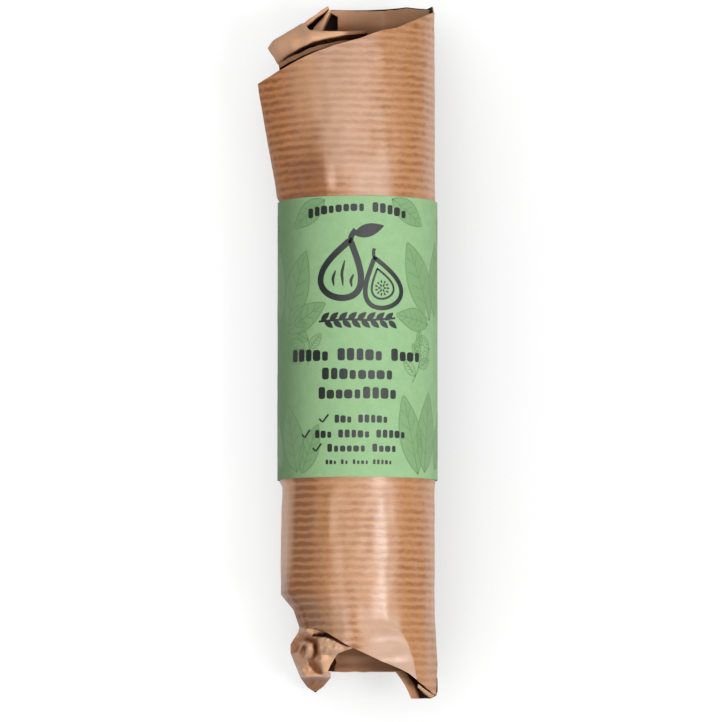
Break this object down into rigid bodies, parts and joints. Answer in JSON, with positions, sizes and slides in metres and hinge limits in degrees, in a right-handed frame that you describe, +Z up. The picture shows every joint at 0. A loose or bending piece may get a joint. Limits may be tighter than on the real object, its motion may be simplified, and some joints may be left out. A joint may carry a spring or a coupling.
{
  "type": "wrapped fig roll",
  "caption": "Log of fig paste rolled in ribbed brown paper with a green paper band round its middle, ends loosely folded, lying on its side.",
  "frame": {"origin": "under the middle of the whole roll, on the surface that it rests on", "axes": "+Y along the roll towards its open slanted mouth, +X towards its straight side, +Z up through the band's printed face"},
  "size_m": [0.0428, 0.166, 0.0378],
  "materials": {
    "kraft_paper": "ribbed brown kraft paper with a slight sheen",
    "green_paper": "smooth coated green paper with a dark print"
  },
  "bodies": {
    "root": {"paper_wrap": "kraft_paper", "label_band": "green_paper"}
  },
  "joints": []
}
